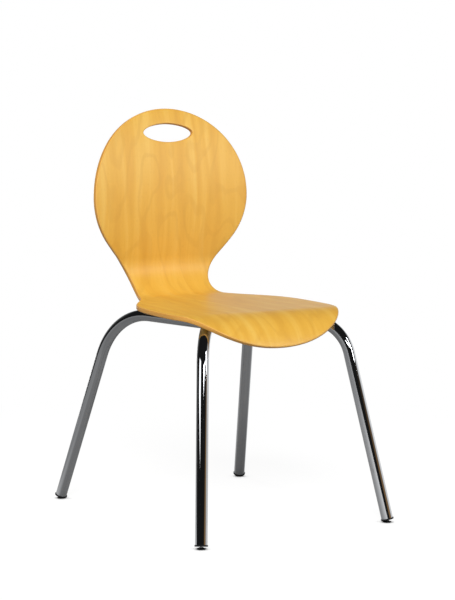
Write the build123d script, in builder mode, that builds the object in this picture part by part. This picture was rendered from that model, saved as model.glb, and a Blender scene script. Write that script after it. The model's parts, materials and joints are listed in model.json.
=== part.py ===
from build123d import *
from math import cos, pi, radians, sin, sqrt, tan
import os

# A stacking chair: one moulded plywood shell, screwed to a welded frame of bent round tube
# that stands on four tilting glides. Lengths are in millimetres and angles in degrees.
# The floor is z = 0 and the origin lies midway between the feet. +Z is up and the sitter
# faces -Y, so the sitter's left hand is at +X.

# Plywood sheet of the shell
veneer_count = 9
veneer_thickness = 1.2

# Side profile of the shell on the sitter's face, from the front tip over the seat to the top
seat_height = 455.8         # at the crest, where the seat begins to roll over at the front
crest_y = -149.6
seat_rise = 1.1             # the seat climbs a little towards the back
front_radius = 100.5
front_turn = 69.3
seat_length = 307.1         # flat part of the seat, crest to bend
bend_radius = 69.1
lower_back_lean = -11.0     # forwards, where the back leaves the bend
upper_back_lean = 16.5      # backwards, at the top
back_length = 338.8
back_hollow_radius = 2500.0  # sideways hollow of the back
hollow_start = 0.33         # share of the bend where the hollow begins
hollow_blend = 60.0         # length of back above the bend by which it has its full depth

# Outline of the flat plywood blank, measured along the sheet
seat_width = 409.0
widest_from_tip = 169.5
front_fullness = 2.12       # 2 is an ellipse, more is squarer
seat_rear_width = 367.0
seat_rear_before_bend = 103.5
hip_width = 240.0           # where the seat has drawn in to meet the back
hip_before_bend = 12.4
waist_width = 202.2
waist_past_bend = 64.0
shoulder_width = 349.0
shoulder_below_centre = 84.4
back_disc_radius = 199.6

# Hand-hole near the top of the back
hand_hole_width = 129.0
hand_hole_height = 42.6
hand_hole_from_top = 56.2
hand_hole_fullness = 1.8
hand_hole_rim_radius = 1.6
hand_hole_steps = 40

# Frame tube and the places of its corners, before they are rounded into bends
tube_diameter = 25.0
tube_wall = 2.0
tube_gap = 2.5              # between the tubes and the underside of the seat
front_foot_x = 236.6        # where the leg's axis meets the floor
front_foot_y = -295.36
front_corner_x = 175.7
front_corner_y = -203.1
crossbar_corner_x = 100.2
crossbar_y = -116.3
rear_foot_x = 242.4
rear_foot_y = 296.4
rear_corner_x = 178.6
rear_corner_y = 156.4
front_bend_radius = 92.0
crossbar_bend_radius = 70.0
rear_bend_radius = 143.0
weld_gap = 0.05             # left between two welded pieces

# Flat bars across the rails, which carry the seat
bar_width = 40.0
bar_thickness = 5.0
front_bar_from_crossbar = 46.3
rear_bar_from_crossbar = 141.3
front_screw_spacing = 130.0
rear_screw_spacing = 180.0

# Seat screws, their washers, the spacers above the bars and the threaded inserts in the shell
screw_diameter = 6.0
screw_clearance = 0.3       # all round, in bars, washers and spacers
screw_engagement = 7.5
thread_gap = 0.05
head_diameter = 11.0
head_height = 3.3
hex_key = 4.0
hex_depth = 2.0
washer_diameter = 16.0
washer_thickness = 1.6
spacer_diameter = 28.0
spacer_thickness = 3.0
spacer_gap = 0.05           # between spacer and shell
insert_diameter = 9.0
insert_length = 8.5
insert_gap = 0.05

# Tilting glide: a plug in the tube's end, a steel ball stud and a sole that tilts on it
tilt_limit = 20.5           # of the sole against the leg, any way
floor_clearance = 0.3       # between the floor and the flange at that tilt
rim_clearance = 0.3         # between the sole's rim and the flange at that tilt
mouth_clearance = 0.9       # between the sole's hub and the plug's mouth at that tilt
ball_radius = 4.0
ball_gap = 0.05
ball_inset = 0.6            # ball centre inside the tube's end
socket_lip = 1.2            # the socket closes this far below the ball's middle
flange_radius = 13.9
flange_thickness = 3.0
flange_edge = 0.8
plug_length = 20.0
plug_wall = 3.0
plug_rib_depth = 0.8
plug_rib_width = 2.4
plug_rib_count = 3
plug_gap = 0.05
sole_radius = 9.6
sole_rim = 1.1
sole_edge = 0.5
hub_base_radius = 7.4
hub_radius = 5.0
hub_below_flange = 1.9      # hub's top under the flange when the leg stands upright
stem_radius = 2.2
stud_head_radius = 4.2
stud_head_height = 1.4
stud_cover = 1.2            # sole left under the stud's head
moulding_gap = 0.05

# Smoothness of the surface and outline that are drawn through computed points
form_rows = 160
form_columns = 9
form_degree = 3
form_margin = 14.0
form_tolerance = 0.002
front_steps = 16
side_steps = 28
disc_steps = 18

shell_thickness = veneer_count * veneer_thickness
front_bar_y = crossbar_y + front_bar_from_crossbar
rear_bar_y = crossbar_y + rear_bar_from_crossbar
tube_radius = tube_diameter / 2
bore_radius = tube_radius - tube_wall

# The tilt decides how high the ball sits above the floor and how wide the plug's mouth opens
tilt = radians(tilt_limit)
flange_depth = ball_inset + flange_thickness
hub_depth = flange_depth + hub_below_flange
ball_height = max(
    flange_depth * cos(tilt) + flange_radius * sin(tilt) + floor_clearance,
    flange_depth / cos(tilt) + sole_radius * tan(tilt) + sole_rim + rim_clearance,
)
mouth_radius = hub_depth * sin(tilt) + hub_radius * cos(tilt) + mouth_clearance

# Stations along the sheet, counted from the front tip
rise = radians(seat_rise)
back_start_heading = radians(90 - lower_back_lean)
front_arc = front_radius * radians(front_turn)
bend_arc = bend_radius * (back_start_heading - rise)
bend_station = front_arc + seat_length
back_station = bend_station + bend_arc
top_station = back_station + back_length
disc_station = top_station - back_disc_radius
lumbar_radius = back_length / radians(upper_back_lean - lower_back_lean)


def along(heading):
    """Unit step along the sheet, in the plane of symmetry."""
    return Vector(0, cos(heading), sin(heading))


def outward(heading):
    """Unit step off the sheet on the sitter's side."""
    return Vector(0, -sin(heading), cos(heading))


crest = Vector(0, crest_y, seat_height)
front_centre = crest - outward(rise) * front_radius
bend_centre = crest + along(rise) * seat_length + outward(rise) * bend_radius
lumbar_centre = bend_centre - outward(back_start_heading) * (bend_radius + lumbar_radius)


def heading_at(station):
    """Slope of the sheet, from level towards the back (0) to upright (a quarter turn)."""
    if station < front_arc:
        return rise + (front_arc - station) / front_radius
    if station < bend_station:
        return rise
    if station < back_station:
        return rise + (station - bend_station) / bend_radius
    return back_start_heading - (station - back_station) / lumbar_radius


def profile_point(station):
    """Point of the side profile on the sitter's face: roll, flat seat, bend and lumbar curve."""
    heading = heading_at(station)
    if station < front_arc:
        return front_centre + outward(heading) * front_radius
    if station < bend_station:
        return crest + along(rise) * (station - front_arc)
    if station < back_station:
        return bend_centre - outward(heading) * bend_radius
    return lumbar_centre + outward(heading) * lumbar_radius


def sheet_point(across, station):
    """Point of the sitter's face, where the back is hollowed sideways and the seat is not."""
    start = bend_station + hollow_start * bend_arc
    end = back_station + hollow_blend
    share = min(max((station - start) / (end - start), 0), 1)
    share = share * share * (3 - 2 * share)
    forward = share * across * across / (2 * back_hollow_radius)
    return profile_point(station) + outward(heading_at(station)) * forward + Vector(across, 0, 0)


def rounded(half_x, half_y, fullness, angle):
    """Point of a superellipse, which is an ellipse when its fullness is 2."""
    power = 2 / fullness
    x = half_x * abs(cos(angle)) ** power
    y = half_y * abs(sin(angle)) ** power
    return x if cos(angle) > 0 else -x, y if sin(angle) > 0 else -y


def blank_half():
    """Half outline of the flat blank, as (half width, station), from the front tip to the top."""
    points = []
    for step in range(front_steps):
        angle = -pi / 2 * (1 - step / front_steps)
        x, y = rounded(seat_width / 2, widest_from_tip, front_fullness, angle)
        points.append((max(x, 0), widest_from_tip + y))
    side = Spline(
        (seat_width / 2, widest_from_tip),
        (seat_rear_width / 2, bend_station - seat_rear_before_bend),
        (hip_width / 2, bend_station - hip_before_bend),
        (waist_width / 2, bend_station + waist_past_bend),
        (shoulder_width / 2, disc_station - shoulder_below_centre),
        (back_disc_radius, disc_station),
        tangents=((0, 1), (0, 1)),
    )
    for step in range(side_steps):
        point = side @ (step / side_steps)
        points.append((point.X, point.Y))
    for step in range(disc_steps + 1):
        angle = pi / 2 * step / disc_steps
        points.append((back_disc_radius * cos(angle), disc_station + back_disc_radius * sin(angle)))
    points[0] = (0, 0)
    points[-1] = (0, top_station)
    return points


def seat_plane(y, depth):
    """Plane of the flat seat at this y, sunk below the sitter's face, facing up."""
    station = (y - crest_y) / cos(rise)
    return Plane(crest + along(rise) * station - outward(rise) * depth, x_dir=(1, 0, 0), z_dir=outward(rise))


def save(piece, name):
    """Label a finished piece and write it."""
    piece.label = name
    export_step(piece, f"parts/{name}.step")


os.makedirs("parts", exist_ok=True)

# Screw places, as (x, y, name), shared by every piece that a screw goes through
screw_places = [
    (side * spacing / 2, bar_y, f"{end}_{hand}")
    for end, spacing, bar_y in (("front", front_screw_spacing, front_bar_y),
                                ("rear", rear_screw_spacing, rear_bar_y))
    for hand, side in (("left", 1), ("right", -1))
]

# Seat shell. The blank's outline is wrapped onto the double-curved form, seen square to a
# direction between seat and back, so that one cut trims the whole sheet.
cut_direction = outward((rise + back_start_heading) / 2)
cut_plane = Plane(crest, x_dir=(1, 0, 0), z_dir=cut_direction)
form_half_width = max(seat_width / 2, back_disc_radius) + form_margin
form_start = -form_margin
form_length = top_station + 2 * form_margin
form = Face.make_surface_from_array_of_points(
    [
        [
            sheet_point(
                form_half_width * (2 * column / (form_columns - 1) - 1),
                form_start + form_length * row / (form_rows - 1),
            )
            for column in range(form_columns)
        ]
        for row in range(form_rows)
    ],
    tol=form_tolerance,
    min_deg=form_degree,
    max_deg=form_degree,
)
wrapped = [cut_plane.to_local_coords(sheet_point(*point)) for point in blank_half()]

with BuildPart() as blank_prism:
    with BuildSketch(cut_plane):
        with BuildLine():
            Spline([(point.X, point.Y) for point in wrapped], tangents=[(1, 0), (-1, 0)])
            mirror(about=Plane.YZ)
        make_face()
    extrude(amount=top_station, both=True)

sitter_face = (form & blank_prism.part).faces()[0]

hole_station = top_station - hand_hole_from_top
hole_plane = Plane(
    profile_point(hole_station), x_dir=(1, 0, 0), z_dir=outward(heading_at(hole_station)))

with BuildPart() as seat_shell:
    thicken(sitter_face, amount=-shell_thickness, normal_override=cut_direction)
    for x, y, _ in screw_places:
        with BuildSketch(seat_plane(y, 2 * shell_thickness)):
            with Locations((x, 0)):
                Circle(insert_diameter / 2 + insert_gap)
        extrude(amount=shell_thickness + insert_length + insert_gap, mode=Mode.SUBTRACT)
    with BuildSketch(hole_plane):
        with BuildLine():
            Spline(
                [
                    rounded(hand_hole_width / 2, hand_hole_height / 2, hand_hole_fullness,
                            2 * pi * step / hand_hole_steps)
                    for step in range(hand_hole_steps)
                ],
                periodic=True,
            )
        make_face()
    extrude(amount=2 * shell_thickness, both=True, mode=Mode.SUBTRACT)
    hole_rims = seat_shell.edges(Select.LAST).filter_by(lambda edge: edge.length > 2 * shell_thickness)
    fillet(hole_rims, hand_hole_rim_radius)
save(seat_shell.part, "seat_shell")

# Welded frame. Every tube runs under the seat at the same depth below the sitter's face.
tube_depth = shell_thickness + tube_gap + tube_radius


def under_seat(x, y, level_y):
    """Point on a tube's axis, at the height that the tubes have under the seat at level_y."""
    return Vector(x, y, seat_plane(level_y, tube_depth).origin.Z)


def leg(foot_x, foot_y, corner):
    """Ball centre and lower tube end of a leg, and its direction from the floor to the corner."""
    floor = Vector(foot_x, foot_y, 0)
    upward = (corner - floor).normalized()
    ball = floor + upward * (ball_height / upward.Z)
    return ball, ball - upward * ball_inset, upward


def swept_tube(points, radii, outer, inner=0):
    """Round tube, or rod if it has no bore, along straight runs with rounded corners."""
    with BuildLine() as route:
        FilletPolyline(*points, radius=radii)
    path = route.wire()
    with BuildPart() as tube:
        with BuildSketch(Plane(path @ 0, z_dir=path % 0)):
            Circle(outer)
            if inner:
                Circle(inner, mode=Mode.SUBTRACT)
        sweep(path=path)
    return tube.part


def mirrored(point):
    """The same point on the other side of the chair."""
    return Vector(-point.X, point.Y, point.Z)


front_corner = under_seat(front_corner_x, front_corner_y, crossbar_y)
crossbar_corner = under_seat(crossbar_corner_x, crossbar_y, crossbar_y)
rear_corner = under_seat(rear_corner_x, rear_corner_y, rear_corner_y)
front_ball, front_end, front_up = leg(front_foot_x, front_foot_y, front_corner)
rear_ball, rear_end, rear_up = leg(rear_foot_x, rear_foot_y, rear_corner)

# Front legs and crossbar: one tube, swept back from the legs to the crossbar.
half_hoop = [front_end, front_corner, crossbar_corner]
hoop_points = half_hoop + [mirrored(point) for point in reversed(half_hoop)]
hoop_radii = [front_bend_radius, crossbar_bend_radius, crossbar_bend_radius, front_bend_radius]
front_leg_hoop = swept_tube(hoop_points, hoop_radii, tube_radius, bore_radius)
save(front_leg_hoop, "front_leg_hoop")
hoop_weld = swept_tube(hoop_points, hoop_radii, tube_radius + weld_gap)

# Rear legs: each tube bends forward into a rail, whose end is cut to fit round the hoop's corner.
rail = (crossbar_corner - rear_corner).normalized()
sweep_back = (crossbar_corner - front_corner).normalized()
half_turn = radians(sweep_back.get_angle(Vector(-1, 0, 0))) / 2
corner_cut = crossbar_bend_radius * (1 / cos(half_turn) - 1)  # from the sharp corner to the bend
rail_points = {"left": [rear_end, rear_corner, crossbar_corner + rail * corner_cut]}
rail_points["right"] = [mirrored(point) for point in rail_points["left"]]
rail_welds = []
for hand, points in rail_points.items():
    with BuildPart() as rear_leg_tube:
        add(swept_tube(points, rear_bend_radius, tube_radius, bore_radius))
        add(hoop_weld, mode=Mode.SUBTRACT)
    save(rear_leg_tube.part.solids().sort_by(SortBy.VOLUME)[-1], f"rear_leg_tube_{hand}")
    rail_welds.append(swept_tube(points, rear_bend_radius, tube_radius + weld_gap))


def rail_x(y):
    """Half distance between the rails' axes."""
    return crossbar_corner_x + rail.X / rail.Y * (y - crossbar_y)


# Seat bars: flat strips between the rails, cut to sit on the rails' shoulders.
bar_depth = shell_thickness + spacer_gap + spacer_thickness
for end, bar_y in (("front", front_bar_y), ("rear", rear_bar_y)):
    with BuildPart() as seat_bar:
        with BuildSketch(seat_plane(bar_y, bar_depth)):
            with BuildLine():
                Polyline(
                    (rail_x(bar_y - bar_width / 2), -bar_width / 2),
                    (rail_x(bar_y + bar_width / 2), bar_width / 2),
                    (-rail_x(bar_y + bar_width / 2), bar_width / 2),
                    (-rail_x(bar_y - bar_width / 2), -bar_width / 2),
                    close=True,
                )
            make_face()
            with Locations(*[(x, 0) for x, y, _ in screw_places if y == bar_y]):
                Circle(screw_diameter / 2 + screw_clearance, mode=Mode.SUBTRACT)
        extrude(amount=-bar_thickness)
        for weld in rail_welds:
            add(weld, mode=Mode.SUBTRACT)
    save(seat_bar.part.solids().sort_by(SortBy.VOLUME)[-1], f"{end}_seat_bar")

# Spacers between the bars and the shell
for x, y, place in screw_places:
    with BuildPart() as seat_spacer:
        with BuildSketch(seat_plane(y, bar_depth)):
            with Locations((x, 0)):
                Circle(spacer_diameter / 2)
                Circle(screw_diameter / 2 + screw_clearance, mode=Mode.SUBTRACT)
        extrude(amount=spacer_thickness)
    save(seat_spacer.part, f"seat_spacer_{place}")

# Threaded inserts, flush in the underside of the shell
with BuildPart() as seat_inserts:
    for x, y, _ in screw_places:
        with BuildSketch(seat_plane(y, shell_thickness)):
            with Locations((x, 0)):
                Circle(insert_diameter / 2)
                Circle(screw_diameter / 2 + thread_gap, mode=Mode.SUBTRACT)
        extrude(amount=insert_length)
save(seat_inserts.part, "seat_inserts")

# Washers and screws, from below
washer_depth = bar_depth + bar_thickness
head_depth = washer_depth + washer_thickness
with BuildPart() as seat_washers:
    for x, y, _ in screw_places:
        with BuildSketch(seat_plane(y, washer_depth)):
            with Locations((x, 0)):
                Circle(washer_diameter / 2)
                Circle(screw_diameter / 2 + screw_clearance, mode=Mode.SUBTRACT)
        extrude(amount=-washer_thickness)
save(seat_washers.part, "seat_washers")

with BuildPart() as seat_screws:
    for x, y, _ in screw_places:
        with BuildSketch(seat_plane(y, head_depth)):
            with Locations((x, 0)):
                Circle(head_diameter / 2)
        extrude(amount=-head_height)
        with BuildSketch(seat_plane(y, head_depth)):
            with Locations((x, 0)):
                Circle(screw_diameter / 2)
        extrude(amount=head_depth - shell_thickness + screw_engagement)
        with BuildSketch(seat_plane(y, head_depth + head_height)):
            with Locations((x, 0)):
                RegularPolygon(hex_key / 2, 6, major_radius=False)
        extrude(amount=hex_depth, mode=Mode.SUBTRACT)
save(seat_screws.part, "seat_screws")


def turned(plane, outline):
    """Solid of revolution about the plane's Z axis, from an outline of (radius, height)."""
    with BuildPart() as piece:
        with BuildSketch(Plane(plane.origin, x_dir=plane.x_dir, z_dir=-plane.y_dir)):
            with BuildLine():
                Polyline(*outline, close=True)
            make_face()
        revolve(axis=Axis(plane.origin, plane.z_dir))
    return piece.part


def glide_plug(plane):
    """Plastic plug in the tube's end: ribbed shank, flange and ball socket, about the ball centre."""
    bottom = -flange_depth
    top = plug_length - ball_inset
    rib_radius = bore_radius - plug_gap
    core_radius = rib_radius - plug_rib_depth
    rib_pitch = plug_length / (plug_rib_count + 1)
    shank = []
    for rib in range(1, plug_rib_count + 1):
        low = rib * rib_pitch - plug_rib_width / 2 - ball_inset
        shank += [(core_radius, low), (rib_radius, low)]
        shank += [(rib_radius, low + plug_rib_width), (core_radius, low + plug_rib_width)]
    outline = [
        (0, bottom), (flange_radius - flange_edge, bottom), (flange_radius, bottom + flange_edge),
        (flange_radius, -ball_inset), (core_radius, -ball_inset), *shank, (core_radius, top), (0, top),
    ]
    lip_radius = sqrt((ball_radius + ball_gap) ** 2 - socket_lip ** 2)
    mouth = [(0, -socket_lip), (lip_radius, -socket_lip), (mouth_radius, bottom), (0, bottom)]
    well_floor = ball_radius + ball_gap + plug_wall
    well_radius = core_radius - plug_wall
    well = [(0, well_floor), (well_radius, well_floor), (well_radius, top), (0, top)]
    with BuildPart() as plug:
        add(turned(plane, outline))
        with Locations(plane.origin):
            Sphere(ball_radius + ball_gap, mode=Mode.SUBTRACT)
        add(turned(plane, mouth), mode=Mode.SUBTRACT)
        add(turned(plane, well), mode=Mode.SUBTRACT)
    return plug.part


def stud_outline(gap):
    """Stem and head of the ball stud, grown by a gap, from inside the ball to the sole."""
    head_low = -ball_height + stud_cover - gap
    head_high = -ball_height + stud_cover + stud_head_height + gap
    return [
        (0, head_low), (stud_head_radius + gap, head_low), (stud_head_radius + gap, head_high),
        (stem_radius + gap, head_high), (stem_radius + gap, 0), (0, 0),
    ]


def ball_stud(plane):
    """Steel ball on a stem, with a head that the sole is moulded round."""
    with BuildPart() as stud:
        add(turned(plane, stud_outline(0)))
        with Locations(plane.origin):
            Sphere(ball_radius)
    return stud.part


def glide_sole(plane):
    """Plastic sole that lies flat on the floor, with a hub moulded round the stud."""
    rim_top = -ball_height + sole_rim
    outline = [
        (0, -ball_height), (sole_radius - sole_edge, -ball_height), (sole_radius, -ball_height + sole_edge),
        (sole_radius, rim_top), (hub_base_radius, rim_top), (hub_radius, -hub_depth), (0, -hub_depth),
    ]
    with BuildPart() as sole:
        add(turned(plane, outline))
        add(turned(plane, stud_outline(moulding_gap)), mode=Mode.SUBTRACT)
    return sole.part


# Glides. The plug follows its leg and the sole lies level, so the ball joint takes up the lean.
glides = {
    "front_left": (front_ball, front_up),
    "front_right": (mirrored(front_ball), mirrored(front_up)),
    "rear_left": (rear_ball, rear_up),
    "rear_right": (mirrored(rear_ball), mirrored(rear_up)),
}
for place, (ball, upward) in glides.items():
    level = Plane(ball, z_dir=(0, 0, 1))
    save(glide_plug(Plane(ball, z_dir=upward)), f"glide_plug_{place}")
    save(ball_stud(level), f"glide_stud_{place}")
    save(glide_sole(level), f"glide_sole_{place}")
    lean = Vector(0, 0, 1).get_angle(upward)
    print(f"glide {place}: ball at {ball.X:.2f}, {ball.Y:.2f}, {ball.Z:.2f}, leg leans {lean:.2f} of"
          f" {tilt_limit:.1f} degrees, towards {upward.X:.4f}, {upward.Y:.4f}")
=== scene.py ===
# %% [markdown]
# # A stacking chair: a moulded plywood shell on a chromed tube frame
# The chair is one sheet of beech plywood, pressed in a mould and lacquered, that stands on bent and
# chromed steel tube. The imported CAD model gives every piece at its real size. This lesson dresses it:
# it rebuilds the shell as a fine mesh, pressed from a flat blank as the real one is, and gives every
# surface a finish. Lengths are in metres, the floor is z = 0 and the sitter faces -Y.

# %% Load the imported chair
import json
from math import cos, pi, radians, sin, tan

import bpy
import numpy as np
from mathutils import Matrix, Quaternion, Vector
from mathutils.bvhtree import BVHTree
from mathutils.geometry import delaunay_2d_cdt


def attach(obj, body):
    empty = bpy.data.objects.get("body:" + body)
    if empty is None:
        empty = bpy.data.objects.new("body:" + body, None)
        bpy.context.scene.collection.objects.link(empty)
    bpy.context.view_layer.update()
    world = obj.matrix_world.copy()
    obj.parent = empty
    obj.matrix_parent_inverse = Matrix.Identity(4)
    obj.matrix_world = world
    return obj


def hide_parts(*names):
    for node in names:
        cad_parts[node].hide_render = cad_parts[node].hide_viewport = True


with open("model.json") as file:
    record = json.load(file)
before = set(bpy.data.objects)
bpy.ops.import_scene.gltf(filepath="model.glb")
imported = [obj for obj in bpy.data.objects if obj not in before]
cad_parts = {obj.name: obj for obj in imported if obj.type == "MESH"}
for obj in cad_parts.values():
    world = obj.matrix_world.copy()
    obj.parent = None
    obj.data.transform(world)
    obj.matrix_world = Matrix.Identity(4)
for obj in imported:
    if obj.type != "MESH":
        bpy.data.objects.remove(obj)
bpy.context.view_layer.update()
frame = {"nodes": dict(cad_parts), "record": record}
scene = bpy.context.scene
mm = 0.001

# %% [markdown]
# ## The camera
# The chair was photographed from the sitter's right, a little above the seat, with a long lens.
# The camera's place and its focal length in pixels were worked out from the chair's own symmetry, its
# four feet on one floor and the outline of the shell. Blender's sensor width lies along the picture's
# longer side, which is its height here, so the lens is the focal length as a share of that height.

# %% Camera
camera_azimuth = radians(32.76)     # from straight in front, towards the sitter's right
camera_distance = 4.192             # along the floor, from the chair's middle
camera_height = 0.913
camera_pan = radians(0.175)
camera_tilt = radians(6.099)        # downwards
camera_roll = radians(0.238)
focal_pixels = 1932.4
picture_height = 600
sensor_mm = 36.0

heading = camera_azimuth + camera_pan
looking = Vector((sin(heading) * cos(camera_tilt), cos(heading) * cos(camera_tilt), -sin(camera_tilt)))
camera = bpy.data.objects.new("camera", bpy.data.cameras.new("camera"))
scene.collection.objects.link(camera)
camera.data.sensor_width = sensor_mm
camera.data.lens = focal_pixels / picture_height * sensor_mm
camera.data.clip_end = 100
camera.location = (
    -sin(camera_azimuth) * camera_distance,
    -cos(camera_azimuth) * camera_distance,
    camera_height,
)
camera.rotation_mode = "QUATERNION"
camera.rotation_quaternion = looking.to_track_quat("-Z", "Y") @ Quaternion((0, 0, 1), camera_roll)
scene.camera = camera
print(f"lens {camera.data.lens:.1f} mm")

# %% [markdown]
# ## Small helpers
# Colours are written as sRGB hex values, as a paint program shows them, and Blender's sockets want
# linear light, so one function turns them. Another adds a node to any tree: settings are the node's own
# properties, and an input is either a value or the socket that feeds it. The short functions after it
# stand for the nodes that come up again and again.


# %% Helpers
def linear(hex_colour):
    """Linear RGBA from an sRGB hex colour."""
    levels = [int(hex_colour[i:i + 2], 16) / 255 for i in (1, 3, 5)]
    return [c / 12.92 if c <= 0.04045 else ((c + 0.055) / 1.055) ** 2.4 for c in levels] + [1.0]


def add(tree, kind, inputs=None, **settings):
    """Add a node, set its properties, and fill its inputs with values or with other nodes' sockets."""
    node = tree.nodes.new(kind)
    for name, value in settings.items():
        setattr(node, name, value)
    for key, value in (inputs or {}).items():
        if isinstance(value, bpy.types.NodeSocket):
            tree.links.new(value, node.inputs[key])
        else:
            node.inputs[key].default_value = value
    return node


def maths(tree, operation, *values):
    """The result of one Math node."""
    return add(tree, "ShaderNodeMath", dict(enumerate(values)), operation=operation).outputs[0]


def vectors(tree, operation, *values):
    """The vector that one Vector Math node gives."""
    return add(tree, "ShaderNodeVectorMath", dict(enumerate(values)), operation=operation).outputs[0]


def times(tree, vector, factor):
    """A vector made longer or shorter."""
    return add(tree, "ShaderNodeVectorMath", {0: vector, "Scale": factor}, operation="SCALE").outputs[0]


def ramp(tree, value, low, high, first=0.0, last=1.0, smooth=False):
    """A level that goes from first to last while the value goes from low to high."""
    return add(tree, "ShaderNodeMapRange",
               {"Value": value, "From Min": low, "From Max": high, "To Min": first, "To Max": last},
               interpolation_type="SMOOTHSTEP" if smooth else "LINEAR").outputs[0]


def mix(tree, share, first, last, data_type="RGBA"):
    """A mix of two colours, or of two levels if the data type is FLOAT."""
    mixed = add(tree, "ShaderNodeMix", {"Factor": share, "A": first, "B": last}, data_type=data_type)
    return mixed.outputs["Result"]


def grey(tree, level):
    """A colour without a hue, from one level."""
    channels = {"Red": level, "Green": level, "Blue": level}
    return add(tree, "ShaderNodeCombineColor", channels).outputs[0]


def noise(tree, place, detail, scale=1.0):
    """The outputs of a noise, in which one unit of the scaled place is about one blot."""
    return add(tree, "ShaderNodeTexNoise", {"Vector": place, "Scale": scale, "Detail": detail}).outputs


noise_low, noise_high = 0.3, 0.7    # nearly all of a noise lies between these
noise_middle = 0.5


def new_material(name):
    """An empty node material, with its tree."""
    material = bpy.data.materials.new(name)
    material.use_nodes = True
    material.node_tree.nodes.clear()
    return material, material.node_tree


def cover(tree, looks):
    """End a material's tree in one Principled surface."""
    surface = add(tree, "ShaderNodeBsdfPrincipled", looks)
    add(tree, "ShaderNodeOutputMaterial", {"Surface": surface.outputs[0]})


def new_object(name, data):
    """An object at the origin, in the scene."""
    made = bpy.data.objects.new(name, data)
    scene.collection.objects.link(made)
    return made


# %% [markdown]
# ## The outline of the blank
# The real shell starts as a flat stack of veneers that is cut to an outline after pressing. Drawing it
# flat is the simplest way to keep its widths true, so the outline below is measured along the sheet, in
# millimetres, from the front tip over the seat to the top of the back. The front is a fuller ellipse,
# the back is a disc, and a smooth curve joins them, through the seat's rear, the hip, the waist and the
# shoulder.

# %% Outline of the blank
seat_width = 409.0
widest_from_tip = 169.5
true_ellipse = 2                    # a fullness of more is squarer, and less is leaner
front_fullness = 2.12
seat_rear_width = 367.0
seat_rear_before_bend = 103.5
hip_width = 240.0                   # where the seat has drawn in to meet the back
hip_before_bend = 12.4
waist_width = 202.2
waist_past_bend = 64.0
shoulder_width = 349.0
shoulder_below_centre = 84.4
back_disc_radius = 199.6

seat_rise = 1.1                     # degrees, as are the turns and leans below
front_radius = 100.5
front_turn = 69.3
seat_length = 307.1
bend_radius = 69.1
lower_back_lean = -11.0             # forwards, where the back leaves the bend
upper_back_lean = 16.5              # backwards, at the top
back_length = 338.8

front_arc = front_radius * radians(front_turn)
back_heading = 90 - lower_back_lean
bend_arc = bend_radius * radians(back_heading - seat_rise)
bend_station = front_arc + seat_length
back_station = bend_station + bend_arc
top_station = back_station + back_length
disc_station = top_station - back_disc_radius


def superellipse(half_x, half_y, fullness, angles):
    """Points of an ellipse that is fuller or leaner than a true one."""
    across = half_x * np.sign(np.cos(angles)) * np.abs(np.cos(angles)) ** (2 / fullness)
    along = half_y * np.sign(np.sin(angles)) * np.abs(np.sin(angles)) ** (2 / fullness)
    return np.stack([across, along], axis=1)


def smooth_curve(points, samples):
    """Cubic spline through the points that runs straight along the sheet at both ends."""
    knots = np.array(points)
    gaps = np.linalg.norm(np.diff(knots, axis=0), axis=1)
    count = len(knots)
    system = np.eye(count)
    wanted = np.tile([0.0, 1.0], (count, 1))
    for i in range(1, count - 1):
        before, after = gaps[i - 1], gaps[i]
        system[i, i - 1:i + 2] = after, 2 * (before + after), before
        step_in, step_out = knots[i] - knots[i - 1], knots[i + 1] - knots[i]
        wanted[i] = 3 * (after / before * step_in + before / after * step_out)
    slopes = np.linalg.solve(system, wanted)
    share = np.linspace(0, 1, samples, endpoint=False)[:, None]
    pieces = []
    for i in range(count - 1):
        rise = share * share * (3 - 2 * share)
        leave = share * (1 - share) ** 2 * gaps[i]
        arrive = share * share * (share - 1) * gaps[i]
        between = knots[i] * (1 - rise) + knots[i + 1] * rise
        pieces.append(between + slopes[i] * leave + slopes[i + 1] * arrive)
    return np.concatenate(pieces)


def even(points, spacing):
    """The same line with its points evenly spaced, keeping both ends."""
    walked = np.concatenate([[0], np.cumsum(np.linalg.norm(np.diff(points, axis=0), axis=1))])
    wanted = np.linspace(0, walked[-1], round(walked[-1] / spacing) + 1)
    return np.stack([np.interp(wanted, walked, points[:, i]) for i in (0, 1)], axis=1)


curve_samples = 200
front_angles = np.linspace(-pi / 2, 0, curve_samples)
front = superellipse(seat_width / 2, widest_from_tip, front_fullness, front_angles)
side = smooth_curve(
    [
        (seat_width / 2, widest_from_tip),
        (seat_rear_width / 2, bend_station - seat_rear_before_bend),
        (hip_width / 2, bend_station - hip_before_bend),
        (waist_width / 2, bend_station + waist_past_bend),
        (shoulder_width / 2, disc_station - shoulder_below_centre),
        (back_disc_radius, disc_station),
    ],
    curve_samples,
)
disc_angles = np.linspace(0, pi / 2, curve_samples)
disc = superellipse(back_disc_radius, back_disc_radius, true_ellipse, disc_angles)
half_outline = np.concatenate([front + [0, widest_from_tip], side[1:], disc + [0, disc_station]])
half_outline[[0, -1], 0] = 0        # both tips lie on the middle line

outline_spacing = 3.0
half_outline = even(half_outline, outline_spacing)
outline = np.concatenate([half_outline, half_outline[-2:0:-1] * [-1, 1]])

hand_hole_width = 129.0
hand_hole_height = 42.6
hand_hole_from_top = 56.2
hand_hole_fullness = 1.8
hole_angles = np.linspace(0, 2 * pi, curve_samples + 1)
hand_hole = superellipse(hand_hole_width / 2, hand_hole_height / 2, hand_hole_fullness, hole_angles)
hand_hole = even(hand_hole, outline_spacing)[:-1] + [0, top_station - hand_hole_from_top]
print(f"blank {top_station:.0f} mm long")
print(f"{len(outline)} points round it and {len(hand_hole)} round the hand-hole")

# %% [markdown]
# ## The blank as a flat mesh
# A grid of points inside the outline is joined into triangles, so that the sheet can bend smoothly
# anywhere. The rim is not a sharp corner: the shell is sanded round along its edges, which is what
# catches the light in a bright line. So the faces stop short of the outline, and rows of quads carry
# the rim round from the sitter's face to the underside. Every point keeps its place on the flat sheet,
# and its depth in it, as an attribute: grain and plies are drawn with it later.

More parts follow.
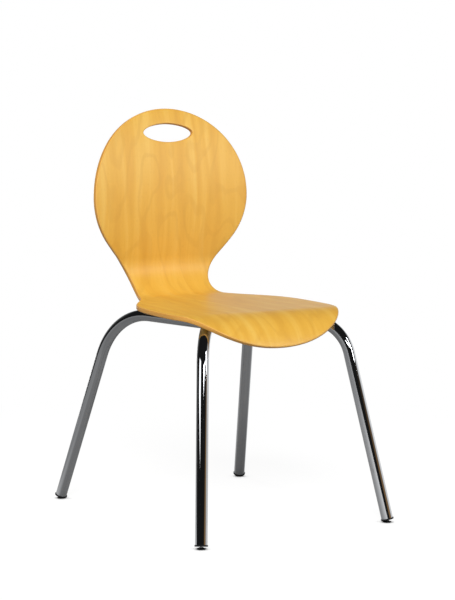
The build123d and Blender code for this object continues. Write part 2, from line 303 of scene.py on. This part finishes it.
# %% Flat blank
veneer_thickness = 1.2
veneer_count = 9
shell_thickness = veneer_thickness * veneer_count
rim_radius = 2.6
hand_hole_rim_radius = 1.6
rim_steps = 5
grid_spacing = 5.0
ring_clearance = 0.6 * grid_spacing   # no point of the grid lies nearer to a rim than this
merge_distance = 1e-4                 # points nearer to each other than this are one


def inset(ring, distance, into_left):
    """A closed ring of points moved sideways, to the left or the right of its direction."""
    direction = np.roll(ring, -1, axis=0) - np.roll(ring, 1, axis=0)
    direction /= np.linalg.norm(direction, axis=1)[:, None]
    left = np.stack([-direction[:, 1], direction[:, 0]], axis=1)
    return ring + left * (distance if into_left else -distance)


def rim_rows(ring, radius, into_left):
    """Rows of (across, along, height) that go round a sanded edge, from the top face to the underside."""
    turns = np.linspace(0, pi / 2, rim_steps)
    upper = [(radius * (1 - sin(turn)), radius * (1 - cos(turn))) for turn in turns]
    lower = [(offset, shell_thickness - depth) for offset, depth in reversed(upper)]
    return [
        np.column_stack([inset(ring, offset, into_left), np.full(len(ring), -depth)])
        for offset, depth in upper + lower
    ]


outer_rows = rim_rows(outline, rim_radius, True)
hole_rows = rim_rows(hand_hole, hand_hole_rim_radius, False)
rings = [outer_rows[0][:, :2], hole_rows[0][:, :2]]

grid_x = np.arange(-seat_width / 2, seat_width / 2 + 1, grid_spacing)
grid_t = np.arange(0, top_station, grid_spacing)
grid = np.stack(np.meshgrid(grid_x, grid_t), axis=-1).reshape(-1, 2)
half_width = np.interp(grid[:, 1], half_outline[:, 1], half_outline[:, 0])
hole_reach = np.array([hand_hole_width, hand_hole_height]) / 2 + hand_hole_rim_radius
from_hole = np.abs(grid - [0, top_station - hand_hole_from_top])
hole_share = np.sum((from_hole / hole_reach) ** hand_hole_fullness, axis=1)
grid = grid[(np.abs(grid[:, 0]) < half_width) & (hole_share > 1)]
for ring in rings:
    nearest = np.array([np.min(np.sum((ring - point) ** 2, axis=1)) for point in grid])
    grid = grid[nearest > ring_clearance ** 2]

sheet_points = np.concatenate(rings + [grid])
ring_edges = []
start = 0
for ring in rings:
    ring_edges += [(start + i, start + (i + 1) % len(ring)) for i in range(len(ring))]
    start += len(ring)
inside_only = 1
flat_points = [Vector(point) for point in sheet_points]
solved = delaunay_2d_cdt(flat_points, ring_edges, [], inside_only, merge_distance)
face_points = np.array(solved[0])
place_of = {origins[0]: i for i, origins in enumerate(solved[3])}
outer_ring = [place_of[i] for i in range(len(outline))]
hole_ring = [place_of[i] for i in range(len(outline), start)]
in_hole = set(hole_ring)
triangles = [list(face) for face in solved[2] if not in_hole.issuperset(face)]

count = len(face_points)
vertices = [np.column_stack([face_points, np.zeros(count)]),
            np.column_stack([face_points, np.full(count, -shell_thickness)])]
faces = triangles + [[i + count for i in reversed(face)] for face in triangles]
flat_faces = len(faces)
made = 2 * count
for ring, rows in ((outer_ring, outer_rows), (hole_ring, hole_rows)):
    row_indices = [ring]
    for row in rows[1:-1]:
        vertices.append(row)
        row_indices.append(list(range(made, made + len(row))))
        made += len(row)
    row_indices.append([i + count for i in ring])
    for upper, lower in zip(row_indices, row_indices[1:]):
        for i in range(len(ring)):
            after = (i + 1) % len(ring)
            quad = [upper[i], lower[i], lower[after], upper[after]]
            faces.append(quad if ring is outer_ring else quad[::-1])
flat = np.concatenate(vertices) * mm

blank_mesh = bpy.data.meshes.new("flat_blank")
blank_mesh.from_pydata(flat.tolist(), [], faces)
sheet = blank_mesh.attributes.new("sheet", "FLOAT_VECTOR", "POINT")
sheet.data.foreach_set("vector", (flat * [1, 1, -1]).ravel())
is_rim = blank_mesh.attributes.new("is_rim", "BOOLEAN", "FACE")
is_rim.data.foreach_set("value", [i >= flat_faces for i in range(len(faces))])
blank = new_object("flat_blank", blank_mesh)
print(f"flat blank: {len(flat)} points, {len(faces)} faces")

# %% [markdown]
# ## Pressing the blank in its mould
# The mould is the chair's side profile: a roll at the front, the flat seat, a tight bend and a gently
# curved back. Geometry Nodes do the pressing. Sample Curve finds the point of the profile that lies as
# far along it as each point of the blank lies along the sheet. The point then moves there, and off to
# the side by its own distance across. The back is hollowed a little sideways as well. A Lattice or a
# Simple Deform would bend the sheet too, but would stretch it. This way the lengths along the sitter's
# face hardly change.

# %% Side profile of the mould
crest_y = -149.6                    # where the seat begins to roll over at the front
seat_height = 455.8
profile_step = 1.0
runs = [
    (front_arc, seat_rise + front_turn, seat_rise),
    (seat_length, seat_rise, seat_rise),
    (bend_arc, seat_rise, back_heading),
    (back_length, back_heading, 90 - upper_back_lean),
]
profile = [np.zeros(2)]
for length, first, last in runs:
    steps = round(length / profile_step)
    for i in range(steps):
        slope = radians(first + (last - first) * (i + 0.5) / steps)
        profile.append(profile[-1] + length / steps * np.array([cos(slope), sin(slope)]))
profile = np.array(profile)
profile += [crest_y, seat_height] - profile[round(front_arc / profile_step)]

mould_curve = bpy.data.curves.new("mould_profile", "CURVE")
mould_curve.dimensions = "3D"
spline = mould_curve.splines.new("POLY")
spline.points.add(len(profile) - 1)
for point, (y, z) in zip(spline.points, profile * mm):
    point.co = (0, y, z, 1)
mould = new_object("mould_profile", mould_curve)
print(f"profile top at y {profile[-1, 0]:.1f}, z {profile[-1, 1]:.1f} mm")

# %% The pressing, as Geometry Nodes
pressing = bpy.data.node_groups.new("press_blank", "GeometryNodeTree")
input_kinds = {
    "Blank": "NodeSocketGeometry",
    "Mould": "NodeSocketObject",
    "Hollow radius": "NodeSocketFloat",
    "Hollow start": "NodeSocketFloat",
    "Hollow end": "NodeSocketFloat",
    "Face": "NodeSocketMaterial",
    "Rim": "NodeSocketMaterial",
}
for name, kind in input_kinds.items():
    pressing.interface.new_socket(name, in_out="INPUT", socket_type=kind)
pressing.interface.new_socket("Shell", in_out="OUTPUT", socket_type="NodeSocketGeometry")

given = add(pressing, "NodeGroupInput").outputs
position = add(pressing, "GeometryNodeInputPosition").outputs[0]
place = add(pressing, "ShaderNodeSeparateXYZ", {0: position}).outputs
mould_shape = add(pressing, "GeometryNodeObjectInfo", {"Object": given["Mould"]})
on_mould = add(pressing, "GeometryNodeSampleCurve",
               {"Curves": mould_shape.outputs["Geometry"], "Length": place["Y"]},
               mode="LENGTH", use_all_curves=True).outputs
outward = vectors(pressing, "CROSS_PRODUCT", (1, 0, 0), on_mould["Tangent"])

# the hollow brings a point forward by x * x / (2 * radius), and tips the sheet over by x / radius there
hollow_share = ramp(pressing, place["Y"], given["Hollow start"], given["Hollow end"], smooth=True)
bent = maths(pressing, "DIVIDE", hollow_share, given["Hollow radius"])
tip_over = maths(pressing, "MULTIPLY", bent, place["X"])
forward = maths(pressing, "MULTIPLY", maths(pressing, "MULTIPLY", tip_over, place["X"]), 0.5)
hollowed = times(pressing, outward, forward)
across = add(pressing, "ShaderNodeCombineXYZ", {"X": place["X"]}).outputs[0]
against = add(pressing, "ShaderNodeCombineXYZ", {"X": tip_over}).outputs[0]
square = vectors(pressing, "NORMALIZE", vectors(pressing, "SUBTRACT", outward, against))
sunk = times(pressing, square, place["Z"])
moved = on_mould["Position"]
for step in (across, hollowed, sunk):
    moved = vectors(pressing, "ADD", moved, step)

pressed = add(pressing, "GeometryNodeSetPosition", {"Geometry": given["Blank"], "Position": moved})
rim_faces = add(pressing, "GeometryNodeInputNamedAttribute", {"Name": "is_rim"}, data_type="BOOLEAN")
faced = add(pressing, "GeometryNodeSetMaterial",
            {"Geometry": pressed.outputs[0], "Material": given["Face"]})
rimmed = add(pressing, "GeometryNodeSetMaterial",
             {"Geometry": faced.outputs[0], "Selection": rim_faces.outputs["Attribute"],
              "Material": given["Rim"]})
add(pressing, "NodeGroupOutput", {"Shell": rimmed.outputs[0]})
print("pressing tree:", len(pressing.nodes), "nodes")

# %% [markdown]
# ## Lacquered beech veneer
# The shell's faces are rotary-cut beech under a clear satin lacquer. Beech is an even, warm wood: wide
# soft bands run along the grain, thin growth lines wander through them like contour lines on a map, and
# fine streaks and short dark flecks lie between. All of them are drawn on the flat sheet, so the grain
# runs along the seat and up the back as it does on the pressed veneer. Real flecks are about 0.5 mm wide,
# which is too fine to show, so they are drawn three times as coarse.

# %% Beech faces
honey = "#F3BC4A"
deep_honey = "#ECB141"
pale_honey = "#F9C95E"
growth_line = "#DFA33A"
fleck_brown = "#CF9238"

# sizes on the sheet in mm, across the grain and along it
waver_size = 70, 260
band_size = 26, 520
ring_size = 125, 330
streak_size = 3.2, 150
fleck_size = 1.5, 9

waver_reach = 1.6, 0.2, 0.0         # how far the bands wander, in widths and lengths of their own
band_stops = ((0.33, deep_honey), (0.5, honey), (0.69, pale_honey))
ring_turns = 62.0                   # more turns give more growth lines
ring_crest = 0.4, 1.0               # the part of each wave that is drawn
ring_strength = 0.26
streak_levels = 0.35, 0.7
streak_strength = 0.16
fleck_levels = 0.62, 0.74
fleck_strength = 0.12
face_roughness = 0.42, 0.5
pore_strength = 0.06
pore_depth = 0.1 * mm
lacquer_ior = 1.5
face_coat = {"IOR": lacquer_ior, "Coat Weight": 0.5, "Coat Roughness": 0.38}


def sheet_scale(tree, size, per_metre_of_depth=300.0):
    """Place on the flat sheet, so scaled that one unit has this size across and along the grain.

    The scale through the sheet is large, so that the two faces have figures of their own."""
    width, length = size
    sheet = add(tree, "ShaderNodeAttribute", attribute_name="sheet", attribute_type="GEOMETRY")
    mapping = add(tree, "ShaderNodeMapping",
                  {"Vector": sheet.outputs["Vector"],
                   "Scale": (1 / (width * mm), 1 / (length * mm), per_metre_of_depth)})
    return mapping.outputs[0]


def lacquered_beech():
    """Bands, growth lines, streaks and flecks, one over the other, under the lacquer."""
    material, tree = new_material("lacquered_beech_veneer")
    waver = noise(tree, sheet_scale(tree, waver_size), detail=1.0)["Color"]
    to_both_sides = vectors(tree, "SUBTRACT", waver, [noise_middle] * 3)
    wandering = vectors(tree, "MULTIPLY", to_both_sides, waver_reach)
    band_place = vectors(tree, "ADD", sheet_scale(tree, band_size), wandering)
    bands = noise(tree, band_place, detail=3.0)["Fac"]
    band_colour = add(tree, "ShaderNodeValToRGB", {"Fac": bands})
    for stop, (where, colour) in enumerate(band_stops):
        if stop > 1:
            band_colour.color_ramp.elements.new(where)
        band_colour.color_ramp.elements[stop].position = where
        band_colour.color_ramp.elements[stop].color = linear(colour)

    rings = noise(tree, sheet_scale(tree, ring_size), detail=2.2)["Fac"]
    wave = maths(tree, "SINE", maths(tree, "MULTIPLY", rings, ring_turns))
    line = ramp(tree, wave, *ring_crest, last=ring_strength, smooth=True)
    lined = mix(tree, line, band_colour.outputs["Color"], linear(growth_line))

    streaks = noise(tree, sheet_scale(tree, streak_size), detail=2.0)["Fac"]
    streak = ramp(tree, streaks, *streak_levels, last=streak_strength)
    streaked = mix(tree, streak, lined, linear(deep_honey))

    flecks = noise(tree, sheet_scale(tree, fleck_size), detail=0.0)["Fac"]
    fleck = ramp(tree, flecks, *fleck_levels, last=fleck_strength)
    flecked = mix(tree, fleck, streaked, linear(fleck_brown))

    roughness = ramp(tree, streaks, 0.0, 1.0, *face_roughness)
    pores = add(tree, "ShaderNodeBump",
                {"Height": flecks, "Strength": pore_strength, "Distance": pore_depth})
    cover(tree, {"Base Color": flecked, "Roughness": roughness, "Normal": pores.outputs[0], **face_coat})
    return material


beech_face = lacquered_beech()
print("beech faces:", len(beech_face.node_tree.nodes), "nodes")

# %% [markdown]
# ## The plies at the rim
# Along the rim the stack shows itself: veneers that run along the edge are pale, and those cut across
# their grain drink more lacquer and go darker. The depth that every point of the sheet remembers gives
# the plies their lines, and a thin dark glue line shows at every second joint.

# %% Plywood rim
long_grain = "#F0BA5C"
cross_grain = "#DF963E"
glue_line = "#A4682C"

ply_change = 0.97, 1.03             # depths in a pair of plies, between which one gives way to the next
fibre_size = 14, 14
fibres_per_metre_of_depth = 900.0
blotch_strength = 0.18
glue_width = 0.14                   # as a share of a ply
glue_strength = 0.45
fibre_strength = 0.08
fibre_depth = 0.1 * mm
rim_roughness = 0.42
rim_coat = {"IOR": lacquer_ior, "Coat Weight": 0.2, "Coat Roughness": 0.2}


def plywood_rim():
    """Pale and dark plies in turn, with glue between them, under the lacquer."""
    material, tree = new_material("lacquered_beech_plies")
    sheet = add(tree, "ShaderNodeAttribute", attribute_name="sheet", attribute_type="GEOMETRY")
    depth = add(tree, "ShaderNodeSeparateXYZ", {0: sheet.outputs["Vector"]}).outputs["Z"]
    plies = maths(tree, "DIVIDE", depth, veneer_thickness * mm)
    second_of_pair = ramp(tree, maths(tree, "MODULO", plies, 2.0), *ply_change)
    fibres = noise(tree, sheet_scale(tree, fibre_size, fibres_per_metre_of_depth), detail=3.0)["Fac"]
    blotch = ramp(tree, fibres, noise_low, noise_high, -blotch_strength, blotch_strength)
    shade = add(tree, "ShaderNodeMath", {0: second_of_pair, 1: blotch}, operation="ADD", use_clamp=True)
    ply = mix(tree, shade.outputs[0], linear(long_grain), linear(cross_grain))
    seam = ramp(tree, maths(tree, "PINGPONG", plies, 1.0), 0.0, glue_width, glue_strength, 0.0)
    glued = mix(tree, seam, ply, linear(glue_line))
    grit = add(tree, "ShaderNodeBump",
               {"Height": fibres, "Strength": fibre_strength, "Distance": fibre_depth})
    cover(tree, {"Base Color": glued, "Roughness": rim_roughness, "Normal": grit.outputs[0], **rim_coat})
    return material


beech_rim = plywood_rim()
print("plywood rim:", len(beech_rim.node_tree.nodes), "nodes")

# %% [markdown]
# ## The pressed shell
# The tree runs on the blank, and its result is kept as a plain mesh that stands for the CAD shell.
# The distance between the two, at every point, shows that the mesh is where the CAD says.

# %% Press the shell
back_hollow_radius = 2500.0
hollow_start = 0.33                 # share of the bend where the hollow begins
hollow_blend = 60.0                 # length of back above the bend by which it has its full depth

press = blank.modifiers.new("press", "NODES")
press.node_group = pressing
settings = {
    "Mould": mould,
    "Hollow radius": back_hollow_radius * mm,
    "Hollow start": (bend_station + hollow_start * bend_arc) * mm,
    "Hollow end": (back_station + hollow_blend) * mm,
    "Face": beech_face,
    "Rim": beech_rim,
}
for socket in pressing.interface.items_tree:
    if socket.name in settings:
        press[socket.identifier] = settings[socket.name]
evaluated = blank.evaluated_get(bpy.context.evaluated_depsgraph_get())
shell_mesh = bpy.data.meshes.new_from_object(evaluated)
shell_mesh.name = "plywood_shell"
shell_mesh.shade_smooth()
plywood_shell = new_object("plywood_shell", shell_mesh)
for helper in (blank, mould):
    bpy.data.objects.remove(helper)
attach(plywood_shell, "chair")
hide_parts("seat_shell")

cad_shell = frame["nodes"]["seat_shell"].data
cad_points = [vertex.co for vertex in cad_shell.vertices]
cad_tree = BVHTree.FromPolygons(cad_points, [face.vertices for face in cad_shell.polygons])
gaps = np.array([cad_tree.find_nearest(vertex.co)[3] for vertex in shell_mesh.vertices]) / mm
print(f"shell: {len(shell_mesh.polygons)} faces")
print(f"off the CAD by {np.median(gaps):.3f} mm, at most {gaps.max():.2f} mm")

# %% [markdown]
# ## Chrome plate
# The tubes and bars are steel, bent and welded, then polished and plated with nickel and chrome. A
# chromed tube has hardly a colour of its own: it is a mirror, with a trace of haze in patches, left from
# polishing. The CAD tubes already have the right shape and smooth normals, so they only get the finish.

# %% Chrome
chrome_grey = "#D3D5D8"
haze_size = 35 * mm
chrome_roughness = 0.03, 0.05


def chrome_plate():
    """A mirror, a little hazy in patches."""
    material, tree = new_material("polished_chrome_plate")
    here = add(tree, "ShaderNodeTexCoord").outputs["Object"]
    haze = noise(tree, here, detail=3.0, scale=1 / haze_size)["Fac"]
    roughness = ramp(tree, haze, noise_low, noise_high, *chrome_roughness)
    cover(tree, {"Base Color": linear(chrome_grey), "Metallic": 1.0, "Roughness": roughness})
    return material


# %% [markdown]
# ## Zinc-plated steel and black nylon
# The seat screws, their washers, the inserts and the glides' ball studs are zinc-plated steel, which is
# duller than chrome and a little blotched. Spacers, plugs and soles are moulded in black nylon, with
# the fine grain of a spark-eroded mould. The soles slide on floors, so they are scuffed grey underneath.

# %% Small parts
zinc_grey = "#B9BCC0"
zinc_shade = "#9EA1A4"
spangle_size = 2.5 * mm
zinc_roughness = 0.24, 0.38

nylon_black = "#17181A"
scuffed_grey = "#3C3B39"
grain_size = 0.5 * mm
grain_strength = 0.12
grain_depth = 0.05 * mm
scratch_size = 1.6 * mm
scuff_height = 1.2 * mm             # nylon nearer to the floor than this is scuffed
scuff_strength = 0.9
nylon_roughness = 0.5, 0.7
nylon_shine = {"IOR": 1.53, "Specular IOR Level": 0.3}


def zinc_plated_steel():
    """Dull bright metal in two greys."""
    material, tree = new_material("zinc_plated_steel")
    here = add(tree, "ShaderNodeTexCoord").outputs["Object"]
    spangle = noise(tree, here, detail=2.0, scale=1 / spangle_size)["Fac"]
    colour = mix(tree, spangle, linear(zinc_grey), linear(zinc_shade))
    roughness = ramp(tree, spangle, noise_low, noise_high, *zinc_roughness)
    cover(tree, {"Base Color": colour, "Metallic": 1.0, "Roughness": roughness})
    return material


def moulded_nylon(name):
    """Black nylon with a fine grain, scuffed next to the floor."""
    material, tree = new_material(name)
    here = add(tree, "ShaderNodeTexCoord").outputs["Object"]
    grain = noise(tree, here, detail=2.0, scale=1 / grain_size)["Fac"]
    scratches = noise(tree, here, detail=3.0, scale=1 / scratch_size)["Fac"]
    height = add(tree, "ShaderNodeSeparateXYZ", {0: here}).outputs["Z"]
    low = ramp(tree, height, 0.0, scuff_height, scuff_strength, 0.0)
    scuff = maths(tree, "MULTIPLY", low, scratches)
    colour = mix(tree, scuff, linear(nylon_black), linear(scuffed_grey))
    roughness = ramp(tree, grain, 0.0, 1.0, *nylon_roughness)
    texture = add(tree, "ShaderNodeBump",
                  {"Height": grain, "Strength": grain_strength, "Distance": grain_depth})
    cover(tree, {"Base Color": colour, "Roughness": roughness, "Normal": texture.outputs[0], **nylon_shine})
    return material


finishes = {
    "frame_chrome": chrome_plate(),
    "fastener_steel": zinc_plated_steel(),
    "spacer_plastic": moulded_nylon("black_nylon_spacers"),
    "glide_plastic": moulded_nylon("black_nylon_plugs"),
    "sole_plastic": moulded_nylon("black_nylon_soles"),
}
finishes["stud_steel"] = finishes["fastener_steel"]
for subpart in frame["record"]["subparts"]:
    if subpart["material_slot"] in finishes:
        node_mesh = frame["nodes"][subpart["node"]].data
        node_mesh.materials.clear()
        node_mesh.materials.append(finishes[subpart["material_slot"]])
print("finished slots:", ", ".join(finishes))

# %% [markdown]
# ## Floor, studio and light
# The photograph has a plain white ground. One wide lamp stands far off behind the camera, a weaker one
# low behind the chair keeps its back from going dark, and the world fills the shadows a little. The
# floor is a pale matt sheet. Camera rays see it lifted to white, with the chair's shadow left in it, and
# with a painted contact shadow that makes it darker where a foot stands close above it.
#
# Chrome shows what stands around it more than what lights it, so the floor and the world have a second
# look for glossy rays. There the floor glows with a painted reflection, as a polished floor would mirror
# its room: bright where it is seen at a low angle, dark from above, with painted shade to the left and a
# painted contact shadow where something stands close above it. The studio has a white backdrop low down
# behind the chair and a dark room in front of it. In that room are a brown door, two wide windows with
# their sills above the seat, and a tall thin panel in front of the door, which gives the lacquer its
# sheen on the back and where the shell bends.


# %% Floor
def seen_directly(tree, ray):
    """1 for what the camera sees itself, also through something clear."""
    return maths(tree, "MAXIMUM", ray["Is Camera Ray"], ray["Is Transmission Ray"])


pure_white = (1, 1, 1, 1)
floor_half = 12.0
floor_corners = ((-1, -1), (1, -1), (1, 1), (-1, 1))
floor_mesh = bpy.data.meshes.new("floor")
floor_mesh.from_pydata([(x * floor_half, y * floor_half, 0) for x, y in floor_corners], [], [(0, 1, 2, 3)])
floor = new_object("floor", floor_mesh)

white_level = 0.93                  # what the camera sees near the chair, before the sheet's own light
matt_level = 0.40                   # how much light the sheet sends back
shadow_depth = 0.13                 # how much of that is left in the camera's white
mirror_level = 0.20                 # and in what chrome sees
fade = 0.5, 1.5                     # metres from the middle, between which the shadow fades out
low_angle = 0.55, 0.95              # where the painted reflection begins and is full: 0 is from above, 1 is edge on
painted_reflection_levels = 0.07, 0.6
left_to_right = -1.5, 0.3           # metres to the picture's right, between which the painted reflection grows out of its painted shade
left_reflection_share = 0.25                  # the share of the painted reflection that is left on the left, in painted shade
contact_shadow_reach = 0.03                # painted contact shadow: the floor darkens where something stands this close above it
contact_samples = 4
contact_shadow_power = 2.0                 # for the painted reflection, whose painted contact shadow is deeper
contact_shadow_open = 0.3, 0.8             # for the camera's white: how open the floor is where its painted contact shadow is darkest, and where the white is full
contact_shadow_white = 0.3

pale_floor, tree = new_material("pale_floor")
ray = add(tree, "ShaderNodeLightPath").outputs
seen = seen_directly(tree, ray)
here = add(tree, "ShaderNodeTexCoord").outputs["Object"]
away = add(tree, "ShaderNodeVectorMath", {0: here}, operation="LENGTH").outputs["Value"]
# painted contact shadow: how open the floor is above each point darkens it near the feet
open_floor = add(tree, "ShaderNodeAmbientOcclusion",
                 {"Distance": contact_shadow_reach}, samples=contact_samples).outputs["AO"]

lift = ramp(tree, away, *fade, white_level, 1.0, smooth=True)
# painted contact shadow in the white that the camera sees
lift = maths(tree, "MULTIPLY", lift, ramp(tree, open_floor, *contact_shadow_open, contact_shadow_white, 1.0, smooth=True))
depth = ramp(tree, away, *fade, shadow_depth, 0.0, smooth=True)

grazing = add(tree, "ShaderNodeLayerWeight").outputs["Facing"]
picture_right = (cos(heading), -sin(heading), 0)
rightwards = add(tree, "ShaderNodeVectorMath", {0: here, 1: picture_right}, operation="DOT_PRODUCT")
# painted reflection: the floor glows for glossy rays as a polished floor would mirror its room
painted_reflection = ramp(tree, grazing, *low_angle, *painted_reflection_levels)
# painted shade: the reflection dims towards the picture's left
painted_left_shade = ramp(tree, rightwards.outputs["Value"], *left_to_right, left_reflection_share, 1.0, smooth=True)
painted_reflection = maths(tree, "MULTIPLY", painted_reflection, painted_left_shade)
# painted contact shadow in the painted reflection
painted_reflection = maths(tree, "MULTIPLY", painted_reflection, maths(tree, "POWER", open_floor, contact_shadow_power))

mirrored = ray["Is Glossy Ray"]
glow = mix(tree, seen, maths(tree, "MULTIPLY", mirrored, painted_reflection), lift, "FLOAT")
matt = mix(tree, seen, mix(tree, mirrored, matt_level, mirror_level, "FLOAT"), depth, "FLOAT")
sheet = add(tree, "ShaderNodeBsdfDiffuse", {"Color": grey(tree, matt)})
white = add(tree, "ShaderNodeEmission", {"Color": pure_white, "Strength": glow})
both = add(tree, "ShaderNodeAddShader", {0: sheet.outputs[0], 1: white.outputs[0]})
add(tree, "ShaderNodeOutputMaterial", {"Surface": both.outputs[0]})
floor_mesh.materials.append(pale_floor)
print(f"floor {2 * floor_half:.0f} m wide")

# %% World
fill_strength = 0.15
room_grey = 0.012
door_brown = "#957652"
right_backdrop_level = 0.95
left_backdrop_level = 0.34

# bearings in degrees: 0 is from the chair to the camera, and more is to the picture's right
right_backdrop = 78, 114            # where it begins and where it is full
left_backdrop = -180, -105          # where it is full and where it ends
door_left = 48, 56
door_right = 84, 92

# elevations in degrees, where the top of each begins to fade and where it is gone
backdrop_top = 12, 35
door_top = 6, 12


def fade_between(tree, angle, ends, first, last):
    """A level that goes smoothly from first to last between two angles in degrees."""
    low, high = ends
    return ramp(tree, angle, radians(low), radians(high), first, last, smooth=True)


world = bpy.data.worlds.new("studio")
scene.world = world
world.use_nodes = True
tree = world.node_tree
tree.nodes.clear()
ray = add(tree, "ShaderNodeLightPath").outputs
direction = add(tree, "ShaderNodeTexCoord").outputs["Generated"]
towards = add(tree, "ShaderNodeSeparateXYZ", {0: direction}).outputs
turned = maths(tree, "ARCTAN2", towards["X"], towards["Y"])
bearing = maths(tree, "WRAP", maths(tree, "SUBTRACT", heading - pi, turned), pi, -pi)
elevation = maths(tree, "ARCSINE", towards["Z"])

backdrop = maths(tree, "MAXIMUM",
                 fade_between(tree, bearing, right_backdrop, 0.0, right_backdrop_level),
                 fade_between(tree, bearing, left_backdrop, left_backdrop_level, 0.0))
backdrop = maths(tree, "MULTIPLY", backdrop, fade_between(tree, elevation, backdrop_top, 1.0, 0.0))
room = grey(tree, maths(tree, "ADD", backdrop, room_grey))
door = maths(tree, "MULTIPLY",
             fade_between(tree, bearing, door_left, 0.0, 1.0),
             fade_between(tree, bearing, door_right, 1.0, 0.0))
door = maths(tree, "MULTIPLY", door, fade_between(tree, elevation, door_top, 1.0, 0.0))
room = mix(tree, door, room, linear(door_brown))

fill = [fill_strength] * 3 + [1.0]
unseen = mix(tree, ray["Is Glossy Ray"], fill, room)
shown = mix(tree, seen_directly(tree, ray), unseen, pure_white)
studio = add(tree, "ShaderNodeBackground", {"Color": shown})
add(tree, "ShaderNodeOutputWorld", {"Surface": studio.outputs[0]})
print("studio:", len(tree.nodes), "nodes")

# %% Windows
window_distance = 2.5


def window(name, left, right, low, high, level):
    """A bright upright sheet for glossy rays, between two bearings in degrees and two heights."""
    bearing = radians(left + right) / 2
    out = Vector((-sin(heading - bearing), -cos(heading - bearing), 0)) * window_distance
    side = Vector((cos(heading - bearing), -sin(heading - bearing), 0))
    half_width = window_distance * tan(radians(right - left) / 2)
    ends = ((-half_width, low), (half_width, low), (half_width, high), (-half_width, high))
    corners = [out + side * x + Vector((0, 0, z)) for x, z in ends]
    mesh = bpy.data.meshes.new(name)
    mesh.from_pydata(corners, [], [(0, 1, 2, 3)])
    sheet = new_object(name, mesh)
    sheet.visible_camera = False
    sheet.visible_diffuse = False
    sheet.visible_shadow = False
    sheet.visible_transmission = False
    material, tree = new_material(name)
    glow = add(tree, "ShaderNodeEmission", {"Color": pure_white, "Strength": level})
    add(tree, "ShaderNodeOutputMaterial", {"Surface": glow.outputs[0]})
    mesh.materials.append(material)


window("left_window", left=-62, right=-32, low=0.78, high=1.50, level=1.8)
window("right_window", left=18, right=54, low=1.10, high=1.33, level=5.5)
window("side_panel", left=64, right=68, low=0.80, high=2.00, level=15.0)
print("windows stand", window_distance, "m from the chair")

# %% Lamps
lamp_distance = 10.0
aim = Vector((0, 0, 0.5))


def soft_lamp(name, azimuth, elevation, size, level):
    """A round lamp that lights without being seen.

    Its azimuth is in degrees from the chair's front, towards the sitter's right. At level 1 a surface
    that faces it has its own colour."""
    turn, rise = radians(azimuth), radians(elevation)
    offset = Vector((-sin(turn) * cos(rise), -cos(turn) * cos(rise), sin(rise)))
    lamp = new_object(name, bpy.data.lights.new(name, "AREA"))
    lamp.data.shape = "DISK"
    lamp.data.size = size
    lamp.data.energy = level * (pi * lamp_distance) ** 2
    lamp.visible_camera = False
    lamp.visible_glossy = False     # chrome and lacquer mirror the windows, not the lamps
    lamp.location = aim + offset * lamp_distance
    lamp.rotation_mode = "QUATERNION"
    lamp.rotation_quaternion = (-offset).to_track_quat("-Z", "Y")
    print(f"{name}: {lamp.data.energy:.0f} W")


soft_lamp("soft_lamp", azimuth=35, elevation=37, size=4.5, level=1.0)
soft_lamp("back_lamp", azimuth=180, elevation=5, size=2.4, level=0.55)
scene.view_settings.view_transform = "Standard"
